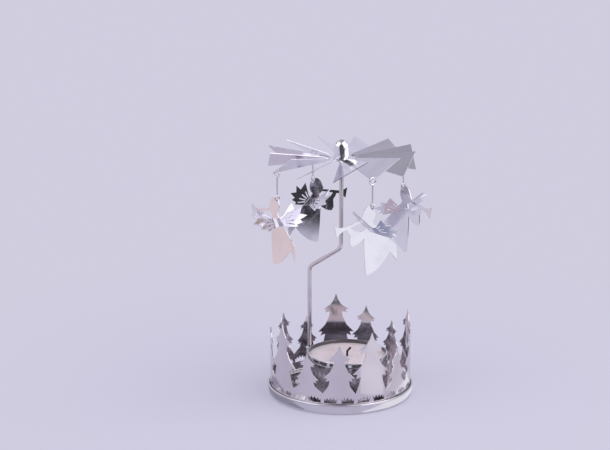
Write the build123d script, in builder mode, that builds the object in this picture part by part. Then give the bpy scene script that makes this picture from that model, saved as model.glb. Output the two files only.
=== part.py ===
from build123d import *
import math
import os

os.makedirs("parts", exist_ok=True)

# Driving sizes in millimetres. The origin is the middle of the underside of the tray, +Z is up,
# and the picture was taken looking along +Y. Angles are in degrees round +Z, counted from +X.

# Tray pressed from sheet
TRAY_R = 35.0
TRAY_H = 5.0
TRAY_SHEET = 0.6
TRAY_BEAD_R = 0.55
TRAY_BEAD_OUT = 0.4
TRAY_CORNER_R = 0.85
BOSS_R = 16.5
BOSS_H = 2.6
BOSS_SLOPE = 1.5

# Strip of fir trees bent to a ring that stands inside the tray wall
SCREEN_SHEET = 0.4
SCREEN_GAP = 0.2
TREE_COUNT = 13
FIRST_TREE = 190.0
TREE_PITCH = 26.4
TREE_TOPS = (33.3, 38.7, 28.2)
BAND_TOP = 10.0
FOOT_SINK = 0.3
WINDOW_LOW = 5.3
SEAM_GAP = 0.4
CUT_DEPTH = 8.0

# Tealight and the cup that holds it
CANDLE_X = 3.3
TEA_R = 18.75
TEA_H = 16.0
TEA_SHEET = 0.25
TEA_RIM_R = 0.4
TEA_LOOSE = 0.3
WAX_BELOW_RIM = 1.8
WAX_DISH = 0.6
WAX_ARC_OUT = 0.72
WAX_ARC_DOWN = 0.7
WICK_R = 0.5
WICK_RISE = 3.7
WICK_LEAN = 1.6
SUSTAINER_R = 6.0
SUSTAINER_SHEET = 0.3
SUSTAINER_NECK_R = 1.3
SUSTAINER_NECK_H = 3.0
CUP_SHEET = 0.4
CUP_H = 14.0
BARREL_WALL = 0.8
BARREL_LOW = 7.5
BARREL_TOP = 18.4
BARREL_ANGLE = 152.0
ROD_CUP_GAP = 0.25

# Rod of round wire with a double bend that brings its upper end to the middle
ROD_R = 1.0
ROD_BEND_LOW = 59.0
ROD_BEND_HIGH = 70.7
ROD_BEND_R = 4.0
ROD_POINT_H = 2.6
ROD_POINT_R = 0.15
ROD_TOP = 117.7

# Fan wheel, cut in one piece from sheet, every vane twisted at its root
FAN_BELOW_POINT = 3.9
FAN_SHEET = 0.35
FAN_R = 35.0
VANE_COUNT = 12
VANE_PITCH = 30.0
VANE_SLIT = 0.3
VANE_ROOT_R = 8.0
ROOT_HALF = 1.1
ROOT_SINK = 0.6
HUB_R = 5.6
FIRST_HOLE = -63.0
HOLE_R = 1.0
HOLE_WEB = 1.0
HOLE_IN = 1.9

# Bullet cap, its bearing and the eyelet that clamps the fan
CAP_R = 3.6
CAP_STRAIGHT = 5.2
CAP_BORE_R = 3.0
CAP_BORE_H = 4.6
EYELET_R = 4.7
EYELET_FLANGE = 0.6
EYELET_WALL = 0.6
EYELET_RISE = 1.8
DIMPLE_R = 2.0
POINT_GAP = 0.05

# Wire hangers
ANGEL_COUNT = 4
WIRE_R = 0.4
RING_TOP_R = 1.6
RING_LOW_R = 1.2
RING_LOOSE = 0.06
HANGER_DROP = 11.4

# Angels cut from sheet, with a folded pair of wings through a slot behind the shoulder
ANGEL_SHEET = 0.4
CROWN_HOLE_R = 0.65
CROWN_HOLE_DOWN = 1.7
CROWN_HOLE_BACK = 1.8
WING_SHEET = 0.35
WING_ROOT = 4.0
WING_FOLD = 80.0
WING_TILT = 40.0
WING_ROOT_OUT = 0.6
WING_SLOT_F = -2.8
WING_SLOT_Z = -11.6
SLIT_TURNS = (31.0, 13.0, -5.0, -23.0)
SLIT_AT = 5.2
SLIT_LENGTH = 4.4
SLIT_WIDTH = 0.5

# Sizes that follow from the ones above
TRAY_WALL_OUT = TRAY_R - TRAY_BEAD_OUT
TRAY_WALL_IN = TRAY_WALL_OUT - TRAY_SHEET
BOSS_TOP = TRAY_SHEET + BOSS_H
SCREEN_OUT = TRAY_R - 2 * TRAY_BEAD_R - SCREEN_GAP
SCREEN_IN = SCREEN_OUT - SCREEN_SHEET
CUT_FROM = SCREEN_OUT - CUT_DEPTH / 2
TREE_HALF = SCREEN_OUT * math.sin(math.radians(TREE_PITCH / 2))
TREE_RISE = max(TREE_TOPS) - BAND_TOP
SEAM_ANGLE = FIRST_TREE + (TREE_COUNT - 1) * TREE_PITCH / 2 + 180
CUP_IN_R = TEA_R + TEA_LOOSE
CUP_OUT_R = CUP_IN_R + CUP_SHEET
CUP_FLOOR = BOSS_TOP + CUP_SHEET
TEA_TOP = CUP_FLOOR + TEA_H
WAX_R = TEA_R - TEA_SHEET
WAX_LOW = CUP_FLOOR + TEA_SHEET
WAX_TOP = TEA_TOP - WAX_BELOW_RIM
BARREL_R = ROD_R + BARREL_WALL
ROD_FROM_CUP = CUP_OUT_R + ROD_R + ROD_CUP_GAP
ROD_X = CANDLE_X + ROD_FROM_CUP * math.cos(math.radians(BARREL_ANGLE))
ROD_Y = ROD_FROM_CUP * math.sin(math.radians(BARREL_ANGLE))
HALF_SECTOR = math.pi / VANE_COUNT
VANE_TIP = FAN_R * math.cos(HALF_SECTOR)
PITCH = math.radians(VANE_PITCH)
FAN_Z = ROD_TOP - FAN_BELOW_POINT
FAN_TOP = FAN_Z + FAN_SHEET / 2
FAN_LOW = FAN_Z - FAN_SHEET / 2
BEARING_LOW = FAN_TOP + EYELET_RISE
BEARING_TOP = FAN_TOP + CAP_BORE_H
DIMPLE_TOP = ROD_TOP + POINT_GAP


def direction(angle):
    """Unit vector pointing outward at an angle round the axis."""
    return Vector(math.cos(math.radians(angle)), math.sin(math.radians(angle)), 0)


def upright(angle, radius):
    """Upright plane at a radius, facing outward, its y along +Z."""
    return Plane(origin=direction(angle) * radius, x_dir=direction(angle + 90), z_dir=direction(angle))


def half_vane(radius):
    """Half the width of a flat vane at a radius."""
    return radius * math.tan(HALF_SECTOR) - VANE_SLIT / 2


# Where a hanger goes through its vane
HOLE_X = VANE_TIP - HOLE_IN
HOLE_V = -(half_vane(HOLE_X) - HOLE_WEB - HOLE_R)
HOLE_TURN = math.degrees(math.atan2(HOLE_V * math.cos(PITCH), HOLE_X))
HOLE_RADIUS = math.hypot(HOLE_V * math.cos(PITCH), HOLE_X)
HOLE_Z = FAN_Z + HOLE_V * math.sin(PITCH)
FIRST_VANE = FIRST_HOLE - HOLE_TURN
# The ring hangs on the upper edge of the hole, on the web towards the leading edge of the vane
WEB_SIDE = -HOLE_R * math.cos(PITCH) - FAN_SHEET / 2 * math.sin(PITCH)
WEB_RISE = -HOLE_R * math.sin(PITCH) + FAN_SHEET / 2 * math.cos(PITCH)
RING_TOP_Z = HOLE_Z + WEB_RISE - (RING_TOP_R - WIRE_R - RING_LOOSE)
RING_LOW_Z = RING_TOP_Z - HANGER_DROP
CROWN_HOLE_Z = RING_LOW_Z - (RING_LOW_R - WIRE_R - RING_LOOSE) - CROWN_HOLE_R
HEAD_Z = CROWN_HOLE_Z + CROWN_HOLE_DOWN


with BuildPart() as base_tray:
    with BuildSketch(Plane.XZ):
        with BuildLine():
            Polyline(
                (0, 0),
                (TRAY_WALL_OUT - TRAY_CORNER_R, 0),
                (TRAY_WALL_OUT, TRAY_CORNER_R),
                (TRAY_WALL_OUT, TRAY_H - TRAY_BEAD_R),
                (TRAY_WALL_IN, TRAY_H - TRAY_BEAD_R),
                (TRAY_WALL_IN, TRAY_CORNER_R),
                (TRAY_WALL_OUT - TRAY_CORNER_R, TRAY_SHEET),
                (0, TRAY_SHEET),
                close=True,
            )
        make_face()
        with Locations((TRAY_WALL_OUT - TRAY_CORNER_R, TRAY_CORNER_R)):
            Circle(TRAY_CORNER_R)
        with Locations((TRAY_R - TRAY_BEAD_R, TRAY_H - TRAY_BEAD_R)):
            Circle(TRAY_BEAD_R)
        with BuildLine():
            Polyline(
                (TRAY_WALL_IN - TRAY_CORNER_R, TRAY_SHEET),
                (TRAY_WALL_IN - TRAY_CORNER_R, TRAY_H - 2 * TRAY_BEAD_R),
                (TRAY_WALL_IN, TRAY_H - 2 * TRAY_BEAD_R),
                (TRAY_WALL_IN, TRAY_CORNER_R),
                (TRAY_WALL_OUT - TRAY_CORNER_R, TRAY_SHEET),
                close=True,
            )
        make_face(mode=Mode.SUBTRACT)
    revolve(axis=Axis.Z)
    with Locations((CANDLE_X, 0, 0)):
        Cone(BOSS_R + BOSS_SLOPE, BOSS_R, BOSS_TOP, align=(Align.CENTER, Align.CENTER, Align.MIN))
        Cone(
            BOSS_R + BOSS_SLOPE - TRAY_SHEET,
            BOSS_R - TRAY_SHEET,
            BOSS_H,
            align=(Align.CENTER, Align.CENTER, Align.MIN),
            mode=Mode.SUBTRACT,
        )


# Right half of a fir: sideways as a share of half the tree pitch, and down as a share of the rise
# of the tree above the band. Smaller trees are the same shape at a smaller size.
FIR_HALF = (
    (0.14, 0.11),
    (0.36, 0.20),
    (0.80, 0.275),
    (0.60, 0.285),
    (0.72, 0.335),
    (0.38, 0.325),
    (0.46, 0.43),
    (0.70, 0.56),
    (1.16, 0.68),
    (0.90, 0.685),
    (1.00, 0.755),
    (0.70, 0.73),
    (0.80, 0.85),
)
# Right half of the toothed window beside a trunk: the same share sideways, and up from its lower edge
WINDOW_HALF = (
    (0.17, 0.0),
    (0.08, 2.6),
    (0.22, 1.5),
    (0.30, 3.0),
    (0.42, 1.7),
    (0.52, 3.0),
    (0.62, 1.5),
    (0.72, 2.7),
    (0.80, 1.2),
    (0.88, 2.1),
    (0.90, 0.0),
)

with BuildPart() as tree_screen:
    for number in range(TREE_COUNT):
        top = TREE_TOPS[number % len(TREE_TOPS)]
        rise = top - BAND_TOP
        wide = TREE_HALF * rise / TREE_RISE
        half = [(wide * x, top - rise * y) for x, y in FIR_HALF]
        with BuildSketch(upright(FIRST_TREE + number * TREE_PITCH, CUT_FROM)):
            with BuildLine():
                Polyline(
                    (0, top),
                    *half,
                    (TREE_HALF, BAND_TOP - FOOT_SINK),
                    (-TREE_HALF, BAND_TOP - FOOT_SINK),
                    *[(-x, y) for x, y in reversed(half)],
                    close=True,
                )
            make_face()
        extrude(amount=CUT_DEPTH)
    with Locations((0, 0, TRAY_SHEET)):
        Cylinder(
            CUT_FROM + CUT_DEPTH,
            BAND_TOP - TRAY_SHEET,
            align=(Align.CENTER, Align.CENTER, Align.MIN),
        )
    with BuildSketch(Plane.XY.offset(TRAY_SHEET)):
        Circle(SCREEN_OUT)
        Circle(SCREEN_IN, mode=Mode.SUBTRACT)
    extrude(amount=max(TREE_TOPS), mode=Mode.INTERSECT)
    for number in range(TREE_COUNT):
        for side in (1, -1):
            with BuildSketch(upright(FIRST_TREE + number * TREE_PITCH, CUT_FROM)):
                with BuildLine():
                    Polyline(*[(side * TREE_HALF * x, WINDOW_LOW + y) for x, y in WINDOW_HALF], close=True)
                make_face()
            extrude(amount=CUT_DEPTH, mode=Mode.SUBTRACT)
    with BuildSketch(upright(SEAM_ANGLE, CUT_FROM)):
        Rectangle(SEAM_GAP, 4 * BAND_TOP)
    extrude(amount=CUT_DEPTH, mode=Mode.SUBTRACT)


with BuildPart() as candle_cup:
    with Locations((CANDLE_X, 0, BOSS_TOP)):
        Cylinder(CUP_OUT_R, CUP_H, align=(Align.CENTER, Align.CENTER, Align.MIN))
    with Locations((ROD_X, ROD_Y, BARREL_LOW)):
        Cylinder(BARREL_R, BARREL_TOP - BARREL_LOW, align=(Align.CENTER, Align.CENTER, Align.MIN))
    with Locations((CANDLE_X, 0, CUP_FLOOR)):
        Cylinder(CUP_IN_R, TEA_H, align=(Align.CENTER, Align.CENTER, Align.MIN), mode=Mode.SUBTRACT)
    with Locations((ROD_X, ROD_Y, 0)):
        Cylinder(ROD_R, ROD_BEND_LOW, align=(Align.CENTER, Align.CENTER, Align.MIN), mode=Mode.SUBTRACT)


ROD_PLANE = Plane(
    origin=(ROD_X, ROD_Y, 0),
    x_dir=(-ROD_X, -ROD_Y, 0),
    z_dir=Vector(-ROD_X, -ROD_Y, 0).cross(Vector(0, 0, 1)),
)
ROD_REACH = math.hypot(ROD_X, ROD_Y)

with BuildPart() as support_rod:
    with BuildLine(ROD_PLANE) as rod_line:
        FilletPolyline(
            (0, TRAY_SHEET),
            (0, ROD_BEND_LOW),
            (ROD_REACH, ROD_BEND_HIGH),
            (ROD_REACH, ROD_TOP - ROD_POINT_H),
            radius=ROD_BEND_R,
        )
    with BuildSketch(Plane(origin=(ROD_X, ROD_Y, TRAY_SHEET))):
        Circle(ROD_R)
    sweep(path=rod_line.line)
    with Locations((0, 0, ROD_TOP - ROD_POINT_H)):
        Cone(ROD_R, ROD_POINT_R, ROD_POINT_H, align=(Align.CENTER, Align.CENTER, Align.MIN))


CANDLE_PLANE = Plane(origin=(CANDLE_X, 0, 0), x_dir=(1, 0, 0), z_dir=(0, -1, 0))
CANDLE_AXIS = Axis((CANDLE_X, 0, 0), (0, 0, 1))

with BuildPart() as tealight_cup:
    with BuildSketch(CANDLE_PLANE):
        with BuildLine():
            Polyline(
                (0, CUP_FLOOR),
                (TEA_R, CUP_FLOOR),
                (TEA_R, TEA_TOP - TEA_RIM_R),
                (WAX_R, TEA_TOP - TEA_RIM_R),
                (WAX_R, WAX_LOW),
                (0, WAX_LOW),
                close=True,
            )
        make_face()
        with Locations((TEA_R, TEA_TOP - TEA_RIM_R)):
            Circle(TEA_RIM_R)
    revolve(axis=CANDLE_AXIS)

with BuildPart() as wick_sustainer:
    with Locations((CANDLE_X, 0, WAX_LOW)):
        Cylinder(SUSTAINER_R, SUSTAINER_SHEET, align=(Align.CENTER, Align.CENTER, Align.MIN))
        Cylinder(SUSTAINER_NECK_R, SUSTAINER_NECK_H, align=(Align.CENTER, Align.CENTER, Align.MIN))
        Cylinder(WICK_R, SUSTAINER_NECK_H, align=(Align.CENTER, Align.CENTER, Align.MIN), mode=Mode.SUBTRACT)

with BuildPart() as wick:
    with BuildLine(CANDLE_PLANE) as wick_line:
        FilletPolyline(
            (0, WAX_LOW),
            (0, WAX_TOP + WICK_RISE / 2),
            (WICK_LEAN, WAX_TOP + WICK_RISE),
            radius=WICK_LEAN,
        )
    with BuildSketch(Plane(origin=(CANDLE_X, 0, WAX_LOW))):
        Circle(WICK_R)
    sweep(path=wick_line.line)

with BuildPart() as tealight_wax:
    with BuildSketch(CANDLE_PLANE):
        with BuildLine():
            Polyline((0, WAX_TOP - WAX_DISH), (0, WAX_LOW), (WAX_R, WAX_LOW), (WAX_R, WAX_TOP))
            ThreePointArc(
                (WAX_R, WAX_TOP),
                (WAX_R * WAX_ARC_OUT, WAX_TOP - WAX_DISH * WAX_ARC_DOWN),
                (0, WAX_TOP - WAX_DISH),
            )
        make_face()
    revolve(axis=CANDLE_AXIS)
    add(wick_sustainer.part, mode=Mode.SUBTRACT)
    with Locations((CANDLE_X, 0, WAX_LOW)):
        Cylinder(WICK_R, TEA_H, align=(Align.CENTER, Align.CENTER, Align.MIN), mode=Mode.SUBTRACT)


def vane_section(radius, half, pitch):
    """Plane across a vane at a radius, turned to the vane's pitch, and the half width there."""
    side = Vector(0, math.cos(pitch), math.sin(pitch))
    return Plane(origin=(radius, 0, FAN_Z), x_dir=side, z_dir=(1, 0, 0)), half


# The twisted root and the flat vane of one sector, along +X
with BuildPart() as vane:
    for section, half in (
        vane_section(HUB_R - ROOT_SINK, ROOT_HALF, 0),
        vane_section((HUB_R + VANE_ROOT_R) / 2, (ROOT_HALF + half_vane(VANE_ROOT_R)) / 2, PITCH / 2),
        vane_section(VANE_ROOT_R, half_vane(VANE_ROOT_R), PITCH),
    ):
        with BuildSketch(section):
            Rectangle(2 * half, FAN_SHEET)
    loft()
    with BuildSketch(
        Plane(
            origin=(0, 0, FAN_Z),
            x_dir=(1, 0, 0),
            z_dir=(0, -math.sin(PITCH), math.cos(PITCH)),
        )
    ):
        with BuildLine():
            Polyline(
                (VANE_ROOT_R, -half_vane(VANE_ROOT_R)),
                (VANE_TIP, -half_vane(VANE_TIP)),
                (VANE_TIP, half_vane(VANE_TIP)),
                (VANE_ROOT_R, half_vane(VANE_ROOT_R)),
                close=True,
            )
        make_face()
    extrude(amount=FAN_SHEET / 2, both=True)

VANE_HOLE = Plane(
    origin=(HOLE_X, HOLE_V * math.cos(PITCH), HOLE_Z),
    x_dir=(1, 0, 0),
    z_dir=(0, -math.sin(PITCH), math.cos(PITCH)),
)

with BuildPart() as pierced_vane:
    add(vane.part)
    with Locations(VANE_HOLE.location):
        Cylinder(HOLE_R, 4 * FAN_SHEET, mode=Mode.SUBTRACT)

with BuildPart() as fan:
    with Locations((0, 0, FAN_Z)):
        Cylinder(HUB_R, FAN_SHEET)
    for number in range(VANE_COUNT):
        pierced = number % (VANE_COUNT // ANGEL_COUNT) == 0
        blade = pierced_vane.part if pierced else vane.part
        add(blade.rotate(Axis.Z, FIRST_VANE + number * 360 / VANE_COUNT))
    with Locations((0, 0, FAN_Z)):
        Cylinder(CAP_BORE_R, 4 * FAN_SHEET, mode=Mode.SUBTRACT)

with BuildPart() as hub_eyelet:
    with Locations((0, 0, FAN_LOW - EYELET_FLANGE)):
        Cylinder(EYELET_R, EYELET_FLANGE, align=(Align.CENTER, Align.CENTER, Align.MIN))
        Cylinder(
            CAP_BORE_R,
            BEARING_LOW - FAN_LOW + EYELET_FLANGE,
            align=(Align.CENTER, Align.CENTER, Align.MIN),
        )
        Cylinder(CAP_BORE_R - EYELET_WALL, FAN_R, mode=Mode.SUBTRACT)

with BuildPart() as hub_cap:
    with BuildSketch(Plane.XZ):
        with BuildLine():
            Line((0, FAN_TOP), (CAP_R, FAN_TOP))
            Line((CAP_R, FAN_TOP), (CAP_R, FAN_TOP + CAP_STRAIGHT))
            CenterArc((0, FAN_TOP + CAP_STRAIGHT), CAP_R, start_angle=0, arc_size=90)
            Line((0, FAN_TOP + CAP_STRAIGHT + CAP_R), (0, FAN_TOP))
        make_face()
    revolve(axis=Axis.Z)
    with Locations((0, 0, FAN_TOP)):
        Cylinder(
            CAP_BORE_R, CAP_BORE_H, align=(Align.CENTER, Align.CENTER, Align.MIN), mode=Mode.SUBTRACT
        )

with BuildPart() as pivot_bearing:
    with Locations((0, 0, BEARING_LOW)):
        Cylinder(CAP_BORE_R, BEARING_TOP - BEARING_LOW, align=(Align.CENTER, Align.CENTER, Align.MIN))
        Cone(
            DIMPLE_R,
            ROD_POINT_R,
            DIMPLE_TOP - BEARING_LOW,
            align=(Align.CENTER, Align.CENTER, Align.MIN),
            mode=Mode.SUBTRACT,
        )


# Outlines of an angel seen from the side, forward and up from the crown of the head
GOWN = (
    (-1.8, -7.2),
    (1.7, -7.2),
    (2.5, -12.0),
    (2.8, -16.0),
    (2.4, -24.0),
    (1.5, -31.6),
    (0.2, -32.2),
    (-4.4, -30.4),
    (-8.9, -26.8),
    (-12.1, -23.0),
    (-13.6, -18.6),
    (-8.0, -13.2),
    (-3.3, -9.2),
)
TRAIN = (
    (-10.9, -16.4),
    (-13.8, -18.4),
    (-16.0, -20.4),
    (-16.5, -24.0),
    (-16.1, -27.6),
    (-14.0, -24.9),
    (-11.8, -22.6),
)
SLEEVE = (
    (1.2, -10.4),
    (5.4, -11.4),
    (8.8, -10.0),
    (11.0, -8.4),
    (12.2, -10.2),
    (10.6, -12.0),
    (10.8, -16.0),
    (9.6, -17.6),
    (6.6, -16.9),
    (2.6, -14.4),
)
FACE = ((2.9, -1.8), (3.6, -3.4), (4.6, -5.6), (3.8, -6.1), (3.9, -6.8), (2.6, -8.2), (0.0, -8.2))
TRUMPET = (
    (0.0, 0.6),
    (10.4, 0.75),
    (13.2, 1.3),
    (15.4, 2.7),
    (15.4, -2.7),
    (13.2, -1.3),
    (10.4, -0.75),
    (0.0, -0.6),
)
TRUMPET_AT = (3.6, -6.5)
TRUMPET_DROP = 12.0
HEAD_AT = (-0.2, -4.0)
HEAD_HALF = (3.5, 4.0)
HAND_AT = (11.4, -8.8)
HAND_R = 1.3
# Outline of one wing, along the wing from its root and across it
WING = (
    (-0.3, -WING_ROOT / 2),
    (3.6, -3.3),
    (7.8, -4.4),
    (7.8, -3.2),
    (11.2, -2.8),
    (10.3, -1.2),
    (14.6, 0.2),
    (11.4, 1.7),
    (13.8, 5.0),
    (9.7, 3.9),
    (9.6, 8.2),
    (6.0, 5.2),
    (2.8, 2.5),
    (-0.3, WING_ROOT / 2),
)


def vane_angle(number):
    """Angle round the axis of a pierced vane. Its angel hangs level with the tip edge of the vane."""
    return FIRST_VANE + number * 360 / ANGEL_COUNT


def ring_centre(number, height):
    """Middle of a hanger ring at a height."""
    angle = vane_angle(number)
    hole = direction(angle + HOLE_TURN) * HOLE_RADIUS
    return hole + direction(angle + 90) * WEB_SIDE + Vector(0, 0, height)


def make_hanger(number):
    """Wire with a ring at each end, the lower ring a quarter turn from the upper one."""
    angle = vane_angle(number)
    shank_top = RING_TOP_Z - RING_TOP_R
    shank_low = RING_LOW_Z + RING_LOW_R
    with BuildPart() as hanger:
        with Locations(Plane(origin=ring_centre(number, RING_TOP_Z), z_dir=direction(angle)).location):
            Torus(RING_TOP_R, WIRE_R)
        with Locations(Plane(origin=ring_centre(number, RING_LOW_Z), z_dir=direction(angle + 90)).location):
            Torus(RING_LOW_R, WIRE_R)
        with Locations(ring_centre(number, (shank_top + shank_low) / 2)):
            Cylinder(WIRE_R, shank_top - shank_low)
    return hanger


def wing_frame(number):
    """Middle of the wing slot, the way along the slot, and the way back from it."""
    forward = direction(vane_angle(number) - 90)
    lift = Vector(0, 0, 1)
    tilt = math.radians(WING_TILT)
    middle = ring_centre(number, HEAD_Z + WING_SLOT_Z) + forward * (WING_SLOT_F + CROWN_HOLE_BACK)
    along = forward * math.sin(tilt) + lift * math.cos(tilt)
    back = forward * -math.cos(tilt) + lift * math.sin(tilt)
    return middle, along, back


def make_angel_body(number):
    """Flat figure blowing a trumpet, with a hole below the crown for the ring of its hanger."""
    angle = vane_angle(number)
    forward = direction(angle - 90)
    crown = ring_centre(number, HEAD_Z) + forward * CROWN_HOLE_BACK
    plate = Plane(origin=crown, x_dir=forward, z_dir=-direction(angle))
    middle, along, back = wing_frame(number)
    with BuildPart() as angel_body:
        with BuildSketch(plate):
            for outline in (GOWN, TRAIN, SLEEVE, FACE):
                with BuildLine():
                    Polyline(*outline, close=True)
                make_face()
            with Locations(Location((*TRUMPET_AT, 0), (0, 0, -TRUMPET_DROP))):
                Polygon(*TRUMPET, align=None)
            with Locations(HEAD_AT):
                Ellipse(*HEAD_HALF)
            with Locations(HAND_AT):
                Circle(HAND_R)
            with Locations((-CROWN_HOLE_BACK, -CROWN_HOLE_DOWN)):
                Circle(CROWN_HOLE_R, mode=Mode.SUBTRACT)
        extrude(amount=ANGEL_SHEET / 2, both=True)
        with BuildSketch(Plane(origin=middle, x_dir=back, z_dir=back.cross(along))):
            Rectangle(WING_SHEET, WING_ROOT)
        extrude(amount=ANGEL_SHEET, both=True, mode=Mode.SUBTRACT)
    return angel_body


def make_angel_wings(number):
    """One piece: a bridge through the slot in the body and a wing folded back on each side."""
    outward = direction(vane_angle(number))
    middle, along, back = wing_frame(number)
    fold = math.radians(WING_FOLD)
    with BuildPart() as angel_wings:
        with BuildSketch(Plane(origin=middle, x_dir=outward, z_dir=outward.cross(along))):
            Rectangle(2 * WING_ROOT_OUT, WING_ROOT)
        extrude(amount=WING_SHEET / 2, both=True)
        for side in (1, -1):
            reach = back * math.cos(fold) + outward * (side * math.sin(fold))
            root = middle + outward * (side * WING_ROOT_OUT)
            with BuildSketch(Plane(origin=root, x_dir=reach, z_dir=reach.cross(along))):
                with BuildLine():
                    Polyline(*WING, close=True)
                make_face()
                for turn in SLIT_TURNS:
                    with PolarLocations(SLIT_AT, 1, start_angle=turn):
                        SlotOverall(SLIT_LENGTH, SLIT_WIDTH, mode=Mode.SUBTRACT)
            extrude(amount=WING_SHEET / 2, both=True)
    return angel_wings


pieces = {
    "base_tray": base_tray,
    "tree_screen": tree_screen,
    "candle_cup": candle_cup,
    "support_rod": support_rod,
    "tealight_cup": tealight_cup,
    "tealight_wax": tealight_wax,
    "wick": wick,
    "wick_sustainer": wick_sustainer,
    "fan": fan,
    "hub_cap": hub_cap,
    "pivot_bearing": pivot_bearing,
    "hub_eyelet": hub_eyelet,
}
for number in range(ANGEL_COUNT):
    pieces[f"hanger_{number + 1}"] = make_hanger(number)
    pieces[f"angel_body_{number + 1}"] = make_angel_body(number)
    pieces[f"angel_wings_{number + 1}"] = make_angel_wings(number)

for name, piece in pieces.items():
    piece.part.label = name
    export_step(piece.part, f"parts/{name}.step")
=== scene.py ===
import math

import bpy
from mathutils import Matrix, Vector


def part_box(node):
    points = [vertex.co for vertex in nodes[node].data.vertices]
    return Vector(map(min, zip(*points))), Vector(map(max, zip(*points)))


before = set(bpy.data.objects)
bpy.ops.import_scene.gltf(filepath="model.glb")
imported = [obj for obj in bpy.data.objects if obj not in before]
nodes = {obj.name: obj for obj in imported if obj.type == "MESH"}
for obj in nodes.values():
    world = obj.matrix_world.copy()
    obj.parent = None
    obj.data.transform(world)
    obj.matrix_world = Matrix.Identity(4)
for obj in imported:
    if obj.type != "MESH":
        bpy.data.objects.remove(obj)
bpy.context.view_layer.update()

# Candle carousel: finishes of the CAD pieces, and the stage, light and camera, all in metres

scene = bpy.context.scene
scene.view_settings.view_transform = "Standard"


# Shader helpers

# Sockets of a Mix node set to colours, where each name is there once for every kind of value
MIX_SHARE, MIX_FIRST, MIX_SECOND, MIX_RESULT = 0, 6, 7, 2
# Vector operations that give a number
TO_NUMBER = ("LENGTH", "DOT_PRODUCT")


def new_group(name, inputs, outputs):
    """Shader node group: inputs are (name, kind, value), outputs are (name, kind)."""
    tree = bpy.data.node_groups.new(name, "ShaderNodeTree")
    for label, kind, value in inputs:
        kind = "NodeSocket" + kind
        socket = tree.interface.new_socket(name=label, in_out="INPUT", socket_type=kind)
        socket.default_value = value
    for label, kind in outputs:
        kind = "NodeSocket" + kind
        tree.interface.new_socket(name=label, in_out="OUTPUT", socket_type=kind)
    return tree, tree.nodes.new("NodeGroupInput"), tree.nodes.new("NodeGroupOutput")


def put(tree, kind, settings=None, **sockets):
    """Adds a node and sets its properties and its named input sockets."""
    node = tree.nodes.new("ShaderNode" + kind)
    for key, value in (settings or {}).items():
        setattr(node, key, value)
    for key, value in sockets.items():
        node.inputs[key].default_value = value
    return node


def feed(tree, item, socket):
    """Feeds an input socket from another socket, or sets it to a constant."""
    if isinstance(item, bpy.types.NodeSocket):
        tree.links.new(item, socket)
    else:
        socket.default_value = item


def feed_all(tree, node, *items):
    """Feeds the first input sockets of a node, in their order."""
    for item, socket in zip(items, node.inputs):
        feed(tree, item, socket)


def on_piece(tree):
    """Place on the piece in metres, which moves with the piece."""
    return put(tree, "TexCoord").outputs["Object"]


def height_of(tree, place):
    """Height of a place."""
    split = put(tree, "SeparateXYZ")
    feed_all(tree, split, place)
    return split.outputs["Z"]


def maths(tree, operation, *items):
    """Result of an operation on numbers."""
    node = put(tree, "Math", {"operation": operation})
    feed_all(tree, node, *items)
    return node.outputs["Value"]


def vector_maths(tree, operation, *items):
    """Result of an operation on vectors."""
    node = put(tree, "VectorMath", {"operation": operation})
    feed_all(tree, node, *items)
    return node.outputs["Value" if operation in TO_NUMBER else "Vector"]


def mix_colour(tree, share, first, second):
    """Mix of two colours; the share is that of the second one."""
    node = put(tree, "Mix", {"data_type": "RGBA"})
    for index, item in ((MIX_SHARE, share), (MIX_FIRST, first), (MIX_SECOND, second)):
        feed(tree, item, node.inputs[index])
    return node.outputs[MIX_RESULT]


def ranged(tree, value, span, result=(0.0, 1.0)):
    """Value led smoothly from one end of a result to the other while it crosses a span."""
    node = put(tree, "MapRange", {"interpolation_type": "SMOOTHSTEP"})
    feed_all(tree, node, value, *span, *result)
    return node.outputs["Result"]


def noise(tree, place, scale, detail=3.0, rough=0.5):
    """Noise value at a place; the scale is per metre."""
    node = put(tree, "TexNoise", Scale=scale, Detail=detail, Roughness=rough)
    tree.links.new(place, node.inputs["Vector"])
    return node.outputs[0]


def bump(tree, height, strength, depth, under=None):
    """Normal from a height and its depth in metres, on top of another normal if one is given."""
    node = put(tree, "Bump", Strength=strength, Distance=depth)
    tree.links.new(height, node.inputs["Height"])
    if under is not None:
        tree.links.new(under, node.inputs["Normal"])
    return node.outputs["Normal"]


def plain(name, sockets):
    """New material with a principled shader whose named sockets are set; gives its tree too."""
    made = bpy.data.materials.new(name)
    made.use_nodes = True
    shader = made.node_tree.nodes["Principled BSDF"]
    for key, value in sockets.items():
        shader.inputs[key].default_value = value
    return made, made.node_tree, shader


# Bright metal

EDGE_BREAK = 0.00013
CUT_EDGE = (0.9, 0.9, 0.9, 1)
WAVE_DEPTH = 0.0006
GRAIN_DEPTH = 0.00003


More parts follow.
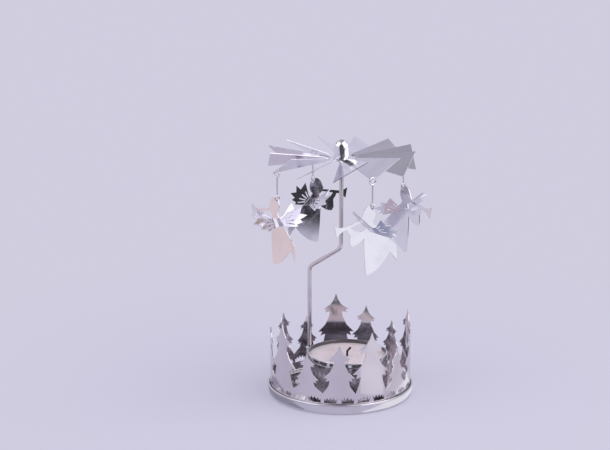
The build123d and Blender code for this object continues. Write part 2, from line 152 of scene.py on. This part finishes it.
def polished_sheet():
    """Group for bright metal: clouded tint, finger marks, slight waves, grain and broken edges."""
    tree, given, made = new_group(
        "polished_sheet",
        [
            ("Tint", "Color", (0.8, 0.8, 0.8, 1)),
            ("Shade", "Color", (0.5, 0.5, 0.5, 1)),
            ("Smooth", "Float", 0.08),
            ("Smudged", "Float", 0.22),
            ("Stretch", "Vector", (1.0, 1.0, 1.0)),
        ],
        [("Color", "Color"), ("Roughness", "Float"), ("Normal", "Vector")],
    )
    place = on_piece(tree)
    cloud = noise(tree, place, scale=70.0)
    smudge = noise(tree, place, scale=210.0, detail=4.0, rough=0.6)
    wave = noise(tree, place, scale=95.0, detail=1.0)
    stretched = vector_maths(tree, "MULTIPLY", place, given.outputs["Stretch"])
    grain = noise(tree, stretched, scale=2400.0, detail=2.0)

    # A broken edge is found where the bevelled normal turns away from the face, and is brighter
    broken = put(tree, "Bevel", {"samples": 6}, Radius=EDGE_BREAK).outputs["Normal"]
    face = put(tree, "NewGeometry").outputs["Normal"]
    along = vector_maths(tree, "DOT_PRODUCT", broken, face)
    edge = ranged(tree, along, span=(0.80, 0.98), result=(1.0, 0.0))

    clouded = ranged(tree, cloud, span=(0.38, 0.72), result=(0.0, 0.5))
    colour = mix_colour(tree, clouded, given.outputs["Tint"], given.outputs["Shade"])
    colour = mix_colour(tree, edge, colour, CUT_EDGE)
    clean_to_touched = (given.outputs["Smooth"], given.outputs["Smudged"])
    roughness = ranged(tree, smudge, span=(0.45, 0.75), result=clean_to_touched)
    normal = bump(tree, wave, strength=0.10, depth=WAVE_DEPTH, under=broken)
    normal = bump(tree, grain, strength=0.05, depth=GRAIN_DEPTH, under=normal)
    for name, socket in (("Color", colour), ("Roughness", roughness), ("Normal", normal)):
        tree.links.new(socket, made.inputs[name])
    return tree


POLISHED_SHEET = polished_sheet()


def metal(name, tint, shade, smooth, smudged, stretch):
    """Bright metal material: the polished sheet group with its own values."""
    made, tree, shader = plain(name, {"Metallic": 1.0})
    look = put(
        tree,
        "Group",
        {"node_tree": POLISHED_SHEET},
        Tint=(*tint, 1),
        Shade=(*shade, 1),
        Smooth=smooth,
        Smudged=smudged,
        Stretch=stretch,
    )
    tree.links.new(look.outputs["Color"], shader.inputs["Base Color"])
    for socket in ("Roughness", "Normal"):
        tree.links.new(look.outputs[socket], shader.inputs[socket])
    return made


# Stretch of the grain: a small number draws it out along that axis
LEVEL = (0.05, 0.05, 1.0)
UPRIGHT = (1.0, 1.0, 0.05)
CROSSWISE = (1.0, 0.05, 1.0)
DRAWN = (1.0, 1.0, 0.02)
TURNED = (0.03, 0.03, 1.0)
EVEN = (1.0, 1.0, 1.0)

# Tint, shade of the clouds, roughness where clean and where touched, stretch of the grain
METALS = {
    "tray_sheet": ((0.72, 0.70, 0.73), (0.60, 0.58, 0.61), 0.10, 0.24, LEVEL),
    "tree_sheet": ((0.72, 0.68, 0.71), (0.62, 0.58, 0.61), 0.10, 0.22, UPRIGHT),
    "fan_sheet": ((0.83, 0.81, 0.87), (0.70, 0.68, 0.74), 0.12, 0.26, CROSSWISE),
    "angel_sheet": ((0.79, 0.78, 0.83), (0.68, 0.67, 0.72), 0.08, 0.20, UPRIGHT),
    "rod_wire": ((0.70, 0.67, 0.68), (0.56, 0.51, 0.51), 0.08, 0.20, DRAWN),
    "hanger_wire": ((0.86, 0.84, 0.86), (0.72, 0.70, 0.72), 0.08, 0.18, DRAWN),
    "cap_plate": ((0.88, 0.88, 0.90), (0.80, 0.80, 0.83), 0.03, 0.09, EVEN),
    "turned_brass": ((0.80, 0.62, 0.33), (0.62, 0.45, 0.20), 0.16, 0.32, TURNED),
    "plated_brass": ((0.74, 0.69, 0.61), (0.62, 0.56, 0.46), 0.12, 0.26, TURNED),
    "tin_plate": ((0.66, 0.66, 0.68), (0.50, 0.50, 0.52), 0.22, 0.42, EVEN),
    "candle_foil": ((0.84, 0.84, 0.86), (0.72, 0.72, 0.75), 0.14, 0.32, LEVEL),
    "cup_sheet": ((0.66, 0.64, 0.67), (0.52, 0.50, 0.53), 0.22, 0.40, LEVEL),
}


# Tealight: painted shade inside the foil, wax and wick

# Its middle, the radii inside the foil's wall where the painted shade ends, and the heights of the
# char
CANDLE_X = 0.0033
FOIL_WALL = (0.01856, 0.01868)
CHAR_HEIGHTS = (0.0166, 0.0180)
# Painted shade for the inner side of the foil's wall
PAINTED_FOIL_SHADE = (0.17, 0.16, 0.165, 1)
CLEAR_WAX = (0.87, 0.77, 0.775, 1)
CLOUDY_WAX = (0.79, 0.675, 0.695, 1)
WAX_DEPTH = 0.0004
WAX_GLOW = {
    "Subsurface Weight": 0.35,
    "Subsurface Radius": (0.004, 0.0025, 0.0018),
    "Subsurface Scale": 1.0,
}
PALE_COTTON = (0.62, 0.52, 0.42, 1)
DARK_COTTON = (0.40, 0.31, 0.24, 1)
CHAR = (0.025, 0.020, 0.020, 1)
BRAID_DEPTH = 0.0002


def paint_foil_shade(foil):
    """Darkens the foil on the inner side of its wall with painted shade, where that wall lies in
    shade.
    """
    tree = foil.node_tree
    colour = tree.nodes["Principled BSDF"].inputs["Base Color"]
    bright = colour.links[0].from_socket
    flat, to_middle = (1.0, 1.0, 0.0), (-CANDLE_X, 0.0, 0.0)
    across = vector_maths(tree, "MULTIPLY_ADD", on_piece(tree), flat, to_middle)
    inside = ranged(tree, vector_maths(tree, "LENGTH", across), FOIL_WALL, result=(1.0, 0.0))
    tree.links.new(mix_colour(tree, inside, bright, PAINTED_FOIL_SHADE), colour)


def wax_look():
    """Soft wax that lets some light in, with faint clouds and an uneven skin."""
    made, tree, shader = plain("wax", WAX_GLOW)
    place = on_piece(tree)
    milk = ranged(tree, noise(tree, place, scale=120.0), span=(0.35, 0.7))
    sheen = ranged(tree, noise(tree, place, scale=380.0), span=(0.3, 0.7), result=(0.28, 0.5))
    skin = bump(tree, noise(tree, place, scale=260.0, detail=4.0), strength=0.12, depth=WAX_DEPTH)
    tree.links.new(mix_colour(tree, milk, CLEAR_WAX, CLOUDY_WAX), shader.inputs["Base Color"])
    tree.links.new(sheen, shader.inputs["Roughness"])
    tree.links.new(skin, shader.inputs["Normal"])
    return made


def wick_look():
    """Braided cotton, charred at its upper end."""
    made, tree, shader = plain("wick", {"Roughness": 0.9})
    place = on_piece(tree)
    wave = put(tree, "TexWave", {"bands_direction": "DIAGONAL"}, Scale=420.0, Distortion=1.0)
    tree.links.new(place, wave.inputs["Vector"])
    braid = wave.outputs["Fac"]
    cotton = mix_colour(tree, braid, PALE_COTTON, DARK_COTTON)
    charred = ranged(tree, height_of(tree, place), CHAR_HEIGHTS)
    strands = bump(tree, braid, strength=0.6, depth=BRAID_DEPTH)
    tree.links.new(mix_colour(tree, charred, cotton, CHAR), shader.inputs["Base Color"])
    tree.links.new(strands, shader.inputs["Normal"])
    return made


# Every piece gets its material

looks = {name: metal(name, *values) for name, values in METALS.items()}
paint_foil_shade(looks["candle_foil"])
looks["wax"] = wax_look()
looks["wick"] = wick_look()

LOOK_OF = {
    "base_tray": "tray_sheet",
    "candle_cup": "cup_sheet",
    "tree_screen": "tree_sheet",
    "support_rod": "rod_wire",
    "fan": "fan_sheet",
    "hub_cap": "cap_plate",
    "pivot_bearing": "turned_brass",
    "hub_eyelet": "plated_brass",
    "tealight_cup": "candle_foil",
    "tealight_wax": "wax",
    "wick": "wick",
    "wick_sustainer": "tin_plate",
}
ANGELS = 4
for number in range(1, ANGELS + 1):
    LOOK_OF[f"hanger_{number}"] = "hanger_wire"
    LOOK_OF[f"angel_body_{number}"] = "angel_sheet"
    LOOK_OF[f"angel_wings_{number}"] = "angel_sheet"

for node_name, look_name in LOOK_OF.items():
    slots = nodes[node_name].data.materials
    slots.clear()
    slots.append(looks[look_name])


# Floor

PAPER = (0.63, 0.61, 0.74, 1)
DULL_PAPER = (0.70, 0.685, 0.805, 1)
BRIGHT_PAPER = (0.73, 0.715, 0.83, 1)
# The backdrop's share in the paper near and far, and the distances between which it grows
BACKDROP_SHARE = (0.36, 1.0)
PAPER_RISE = (0.03, 0.26)
FLOOR_REACH = 12.0


def stage_sheet(name, corners, material):
    """Flat studio sheet that belongs to the stage and not to the part."""
    mesh = bpy.data.meshes.new(name)
    mesh.from_pydata(corners, [], [tuple(range(len(corners)))])
    mesh.materials.append(material)
    sheet = bpy.data.objects.new(name, mesh)
    scene.collection.objects.link(sheet)
    return sheet


def lying(left, right, near, far, height):
    """Corners of a level sheet."""
    return [(left, near, height), (right, near, height), (right, far, height), (left, far, height)]


def floor_paper():
    """Pale paper that turns into an even backdrop away from the part, for the eye and the metal."""
    made, tree, shader = plain("floor_paper", {"Roughness": 0.75, "Specular IOR Level": 0.2})
    place = on_piece(tree)
    paper = mix_colour(tree, noise(tree, place, scale=6.0, detail=2.0), DULL_PAPER, BRIGHT_PAPER)
    tree.links.new(paper, shader.inputs["Base Color"])
    away = ranged(tree, vector_maths(tree, "LENGTH", place), PAPER_RISE, BACKDROP_SHARE)
    ray = put(tree, "LightPath").outputs
    watched = maths(tree, "MAXIMUM", ray["Is Camera Ray"], ray["Is Glossy Ray"])
    backdrop = put(tree, "Emission", Color=PAPER, Strength=1.0)
    blend = put(tree, "MixShader")
    feed_all(
        tree, blend, maths(tree, "MULTIPLY", away, watched), shader.outputs[0], backdrop.outputs[0]
    )
    tree.links.new(blend.outputs[0], tree.nodes["Material Output"].inputs["Surface"])
    return made


floor_corners = lying(-FLOOR_REACH, FLOOR_REACH, -FLOOR_REACH, FLOOR_REACH, 0)
stage_sheet("floor", floor_corners, floor_paper())


# Cards that the bright metal mirrors: self-lit sheets that put painted reflections into the metal

BLACK = (0.045, 0.043, 0.048, 1)
GREY = (0.085, 0.082, 0.095, 1)
WHITE = (1.0, 1.0, 1.08, 1)
ROSE = (0.82, 0.675, 0.705, 1)
PINK = (0.84, 0.82, 0.94, 1)
GOLD = (0.42, 0.34, 0.29, 1)
SILVER = (0.70, 0.685, 0.81, 1)
BLUE = (0.38, 0.43, 0.58, 1)
LILAC = (0.535, 0.495, 0.605, 1)
# Painted shade for the floor strip by the tray's left wall
SHADE = (0.33, 0.32, 0.42, 1)
SELF_LIT = {"Base Color": (0, 0, 0, 1), "Specular IOR Level": 0.0, "Emission Strength": 1.0}
TRAY_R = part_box("base_tray")[1].x
ARC_STEPS = 16
# Heights of the cards on the floor, where the lower one runs under the others
ON_FLOOR = 0.0006
UNDER_OTHERS = 0.0003
# Distances of the upright cards, and the height of the one overhead
SIDE = 0.150
HIGH_SIDE = 0.200
NEAR = 0.200
MOUTH = 0.450
OVERHEAD = 0.25


def card(name, corners, colour, above=None, change=None):
    """Self-lit studio card that only bright metal sees: it paints a reflection into the metal.

    It can have another colour above a height, and change is the span of heights where they meet.
    """
    made, tree, shader = plain(name, SELF_LIT)
    if above is not None:
        share = ranged(tree, height_of(tree, on_piece(tree)), change)
        colour = mix_colour(tree, share, colour, above)
    feed(tree, colour, shader.inputs["Emission Color"])
    sheet = stage_sheet(name, corners, made)
    sheet.visible_camera = False
    sheet.visible_diffuse = False
    sheet.visible_shadow = False


def beside(x, near, far, low, high):
    """Corners of an upright card to the left or right of the part."""
    return [(x, near, low), (x, far, low), (x, far, high), (x, near, high)]


def in_front(distance, left, right, low, high):
    """Corners of an upright card between the part and the camera."""
    y = -distance
    return [(left, y, low), (right, y, low), (right, y, high), (left, y, high)]


def round_tray(start, end, first_width, last_width):
    """Corners of a card on the floor that follows the tray's wall from one bearing to another."""
    inner, outer = [], []
    for step in range(ARC_STEPS + 1):
        share = step / ARC_STEPS
        bearing = math.radians(start + (end - start) * share)
        width = first_width + (last_width - first_width) * share
        for edge, radius in ((inner, TRAY_R + ON_FLOOR), (outer, TRAY_R + ON_FLOOR + width)):
            edge.append((radius * math.cos(bearing), radius * math.sin(bearing), ON_FLOOR))
    return inner + outer[::-1]


# Upright cards
card("dark_card", beside(SIDE, -0.045, 0.060, 0.016, 0.085), PAPER, BLACK, (0.024, 0.038))
card("pale_card", beside(SIDE, -0.130, -0.047, 0.010, 0.080), WHITE)
card("warm_card", beside(-SIDE, -0.020, 0.0385, 0.016, 0.085), ROSE)
card("silver_card", beside(-SIDE, 0.0385, 0.075, 0.012, 0.062), SILVER)
card("near_card", in_front(NEAR, -0.005, 0.080, 0.004, 0.055), BLACK)
card("mouth_card", in_front(MOUTH, -0.300, 0.300, 0.0, 0.400), GREY)
card("upper_dark_card", beside(-HIGH_SIDE, 0.040, 0.105, 0.205, 0.300), BLACK)
card("upper_gold_card", beside(HIGH_SIDE, 0.045, 0.115, 0.235, 0.325), GOLD)
# One card overhead and the cards on the floor
card("back_dark_card", lying(-0.010, 0.050, 0.095, 0.150, OVERHEAD), BLACK)
card("lilac_card", lying(-0.080, 0.005, 0.085, 0.155, ON_FLOOR), LILAC)
card("side_card", lying(0.045, 0.115, -0.045, 0.022, UNDER_OTHERS), SILVER)
# Painted shade and painted light by the tray's wall: a dark strip on the left and a white strip on
# the right, seen only in the wall
card("shade_card", round_tray(165.0, 240.0, 0.020, 0.001), SHADE)
card("bright_card", round_tray(-72.0, 15.0, 0.001, 0.020), WHITE)
# A leaning card in front of one tree
card(
    "pink_card",
    [
        (0.023, -0.053, 0.001),
        (0.038, -0.032, 0.001),
        (0.080, -0.044, 0.035),
        (0.045, -0.090, 0.035),
    ],
    PAPER,
    PINK,
    (0.0, 0.002),
)
# A small card on its upper corner, for the front right wing
card(
    "blue_card",
    [
        (0.0297, -0.0723, 0.0169),
        (0.0400, -0.0619, 0.0186),
        (0.0537, -0.0770, 0.0356),
        (0.0407, -0.0940, 0.0356),
    ],
    BLUE,
)


# Light

MIDDLE = Vector((0.0, 0.0, 0.06))
TENT_WALL = (0.62, 0.605, 0.72, 1)
TENT_TOP = (0.36, 0.35, 0.41, 1)
TENT_MOUTH = (0.05, 0.05, 0.055, 1)
TO_MOUTH = (0.0, -0.97, 0.24)
BACKDROP = (0.66, 0.645, 0.77, 1)
TENT_STRENGTH = 1.1


def softbox(name, place, side, power, tint):
    """Square area light aimed at the middle of the part."""
    lamp = bpy.data.lights.new(name, "AREA")
    lamp.shape = "RECTANGLE"
    lamp.size = side
    lamp.size_y = side
    lamp.energy = power
    lamp.color = tint
    holder = bpy.data.objects.new(name, lamp)
    holder.location = place
    holder.rotation_euler = (MIDDLE - Vector(place)).to_track_quat("-Z", "Y").to_euler()
    scene.collection.objects.link(holder)


def light_tent():
    """Pale tent round the stage, darker at the top, with a dark mouth that faces the camera."""
    world = bpy.data.worlds.new("studio")
    scene.world = world
    world.use_nodes = True
    tree = world.node_tree
    back = tree.nodes["Background"]
    towards = put(tree, "TexCoord").outputs["Generated"]
    high = ranged(tree, height_of(tree, towards), span=(0.45, 0.9))
    tent = mix_colour(tree, high, TENT_WALL, TENT_TOP)
    mouth = ranged(tree, vector_maths(tree, "DOT_PRODUCT", towards, TO_MOUTH), span=(0.82, 0.90))
    tent = mix_colour(tree, mouth, tent, TENT_MOUTH)
    seen = put(tree, "LightPath").outputs["Is Camera Ray"]
    tree.links.new(mix_colour(tree, seen, tent, BACKDROP), back.inputs["Color"])
    back.inputs["Strength"].default_value = TENT_STRENGTH


softbox("key", (1.0, -0.35, 0.85), side=1.9, power=13.0, tint=(1.0, 0.98, 0.98))
softbox("fill", (-0.85, -0.40, 0.95), side=1.35, power=4.6, tint=(0.96, 0.96, 1.0))
light_tent()


# Camera

CAMERA_PLACE = (0.0, -0.6835, 0.2475)
LENS = 88.3
SENSOR = 36.0
FARTHEST = 60.0
DEGREES_DOWN = 13.631
DEGREES_LEFT = 1.421

camera = bpy.data.cameras.new("camera")
camera.lens = LENS
camera.sensor_width = SENSOR
camera.clip_end = FARTHEST
stand = bpy.data.objects.new("camera", camera)
stand.location = CAMERA_PLACE
stand.rotation_euler = (math.radians(90.0 - DEGREES_DOWN), 0.0, math.radians(DEGREES_LEFT))
scene.collection.objects.link(stand)
scene.camera = stand
